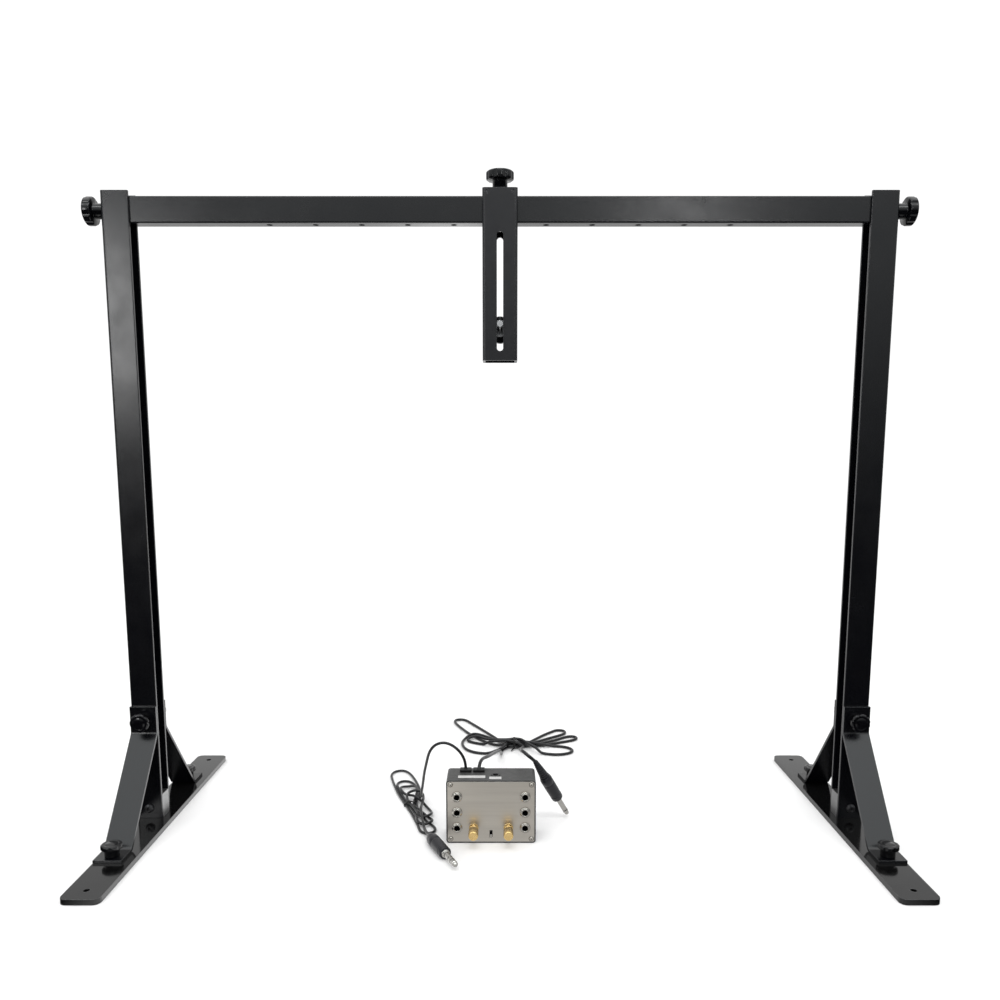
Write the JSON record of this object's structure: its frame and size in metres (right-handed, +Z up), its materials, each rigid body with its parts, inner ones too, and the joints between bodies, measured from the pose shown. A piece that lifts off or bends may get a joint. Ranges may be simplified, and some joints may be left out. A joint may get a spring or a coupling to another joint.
{
  "type": "camera slider",
  "caption": "Overhead gantry camera slider: a slotted carriage clamps anywhere along a crossbar held by two braced legs, with a small control box and its two leads.",
  "frame": {"origin": "on the floor, midway between the legs and midway along the base plates", "axes": "+X along the crossbar to the viewer's right, +Y from the front (camera side) to the back, +Z up"},
  "size_m": [0.8976, 0.5817, 0.7338],
  "materials": {
    "frame_black": "satin powder coat",
    "plate_black": "glossy",
    "carriage_black": "satin powder coat",
    "block_steel": "milled",
    "dark_steel": "blackened",
    "zinc_steel": "zinc plated",
    "knob_black": "glossy",
    "pad_nylon": "smooth",
    "box_black": "fine texture",
    "panel_steel": "brushed",
    "socket_black": "smooth",
    "nut_chrome": "polished",
    "dial_brass": "turned",
    "grommet_rubber": "matte",
    "label_white": "smooth",
    "board_green": "smooth",
    "cord_black": "satin",
    "plug_black": "satin",
    "plug_nickel": "polished"
  },
  "bodies": {
    "frame": {"base_plate_left": "plate_black", "base_plate_right": "plate_black", "leg_left": "frame_black", "leg_right": "frame_black", "foot_block_left": "block_steel", "foot_block_right": "block_steel", "foot_screws": "dark_steel", "leg_bolts": "dark_steel", "leg_nuts": "dark_steel", "brace_front_left": "frame_black", "brace_front_right": "frame_black", "brace_rear_left": "frame_black", "brace_rear_right": "frame_black", "brace_nuts": "dark_steel", "crossbar": "frame_black", "bar_plugs": "block_steel"},
    "carriage": {"carriage_tube": "carriage_black", "carriage_cap": "carriage_black", "cap_screws": "dark_steel"},
    "clamp": {"clamp_knob": "knob_black", "clamp_stud": "zinc_steel", "pressure_pad": "pad_nylon"},
    "camera_mount": {"camera_washer": "zinc_steel"},
    "camera_screw": {"camera_knob": "knob_black", "camera_stud": "zinc_steel"},
    "end_left": {"end_knob_left": "knob_black", "end_stud_left": "zinc_steel"},
    "end_right": {"end_knob_right": "knob_black", "end_stud_right": "zinc_steel"},
    "control_box": {"box_shell": "box_black", "faceplate": "panel_steel", "faceplate_screws": "panel_steel", "jack_sockets": "socket_black", "jack_nuts": "nut_chrome", "potentiometers": "dial_brass", "switch_body": "socket_black", "power_socket": "socket_black", "cord_grommets": "grommet_rubber", "label_strips": "label_white", "circuit_board": "board_green", "lead_left": "cord_black", "hank_left": "cord_black", "lead_right": "cord_black", "tail_right": "cord_black", "hank_right": "cord_black", "cord_ties": "grommet_rubber", "plug_shells": "plug_black", "plug_pins": "plug_nickel"},
    "dial_a": {"dial_left": "dial_brass"},
    "dial_b": {"dial_right": "dial_brass"},
    "switch": {"switch_lever": "nut_chrome"},
    "upper_front_left": {"screw_upper_front_left": "knob_black"},
    "lower_front_left": {"screw_lower_front_left": "knob_black"},
    "upper_rear_left": {"screw_upper_rear_left": "knob_black"},
    "lower_rear_left": {"screw_lower_rear_left": "knob_black"},
    "upper_front_right": {"screw_upper_front_right": "knob_black"},
    "lower_front_right": {"screw_lower_front_right": "knob_black"},
    "upper_rear_right": {"screw_upper_rear_right": "knob_black"},
    "lower_rear_right": {"screw_lower_rear_right": "knob_black"}
  },
  "joints": [
    {"name": "carriage_slide", "type": "slide", "parent": "frame", "child": "carriage", "axis": [1, 0, 0], "range_m": [-0.378, 0.378]},
    {"name": "clamp_turn", "type": "hinge", "parent": "carriage", "child": "clamp", "pos_m": [0, 0, 0.7135], "axis": [0, 0, 1], "continuous": true},
    {"name": "camera_slide", "type": "slide", "parent": "carriage", "child": "camera_mount", "axis": [0, 0, 1], "range_m": [-0.0245, 0.0935]},
    {"name": "camera_turn", "type": "hinge", "parent": "camera_mount", "child": "camera_screw", "pos_m": [0, 0.0158, 0.571], "axis": [0, 1, 0], "continuous": true},
    {"name": "end_left_turn", "type": "hinge", "parent": "frame", "child": "end_left", "pos_m": [-0.428, 0, 0.692], "axis": [1, 0, 0], "continuous": true},
    {"name": "end_right_turn", "type": "hinge", "parent": "frame", "child": "end_right", "pos_m": [0.428, 0, 0.692], "axis": [1, 0, 0], "continuous": true},
    {"name": "upper_front_left_turn", "type": "hinge", "parent": "frame", "child": "upper_front_left", "pos_m": [-0.413, -0.015, 0.126], "axis": [0, 1, 0], "continuous": true},
    {"name": "lower_front_left_turn", "type": "hinge", "parent": "frame", "child": "lower_front_left", "pos_m": [-0.413, -0.113, 0.009], "axis": [0, 0, 1], "continuous": true},
    {"name": "upper_rear_left_turn", "type": "hinge", "parent": "frame", "child": "upper_rear_left", "pos_m": [-0.413, 0.015, 0.126], "axis": [0, 1, 0], "continuous": true},
    {"name": "lower_rear_left_turn", "type": "hinge", "parent": "frame", "child": "lower_rear_left", "pos_m": [-0.413, 0.113, 0.009], "axis": [0, 0, 1], "continuous": true},
    {"name": "upper_front_right_turn", "type": "hinge", "parent": "frame", "child": "upper_front_right", "pos_m": [0.413, -0.015, 0.126], "axis": [0, 1, 0], "continuous": true},
    {"name": "lower_front_right_turn", "type": "hinge", "parent": "frame", "child": "lower_front_right", "pos_m": [0.413, -0.113, 0.009], "axis": [0, 0, 1], "continuous": true},
    {"name": "upper_rear_right_turn", "type": "hinge", "parent": "frame", "child": "upper_rear_right", "pos_m": [0.413, 0.015, 0.126], "axis": [0, 1, 0], "continuous": true},
    {"name": "lower_rear_right_turn", "type": "hinge", "parent": "frame", "child": "lower_rear_right", "pos_m": [0.413, 0.113, 0.009], "axis": [0, 0, 1], "continuous": true},
    {"name": "box_lift", "type": "slide", "parent": "frame", "child": "control_box", "axis": [0, 0, 1], "range_m": [0, 0.3]},
    {"name": "dial_left_turn", "type": "hinge", "parent": "control_box", "child": "dial_a", "pos_m": [-0.0293, -0.072, 0.0175], "axis": [0, 1, 0], "range_deg": [-150, 150]},
    {"name": "dial_right_turn", "type": "hinge", "parent": "control_box", "child": "dial_b", "pos_m": [0.0093, -0.072, 0.0175], "axis": [0, 1, 0], "range_deg": [-150, 150]},
    {"name": "switch_slide", "type": "slide", "parent": "control_box", "child": "switch", "axis": [0, 0, 1], "range_m": [0, 0.0044]}
  ]
}
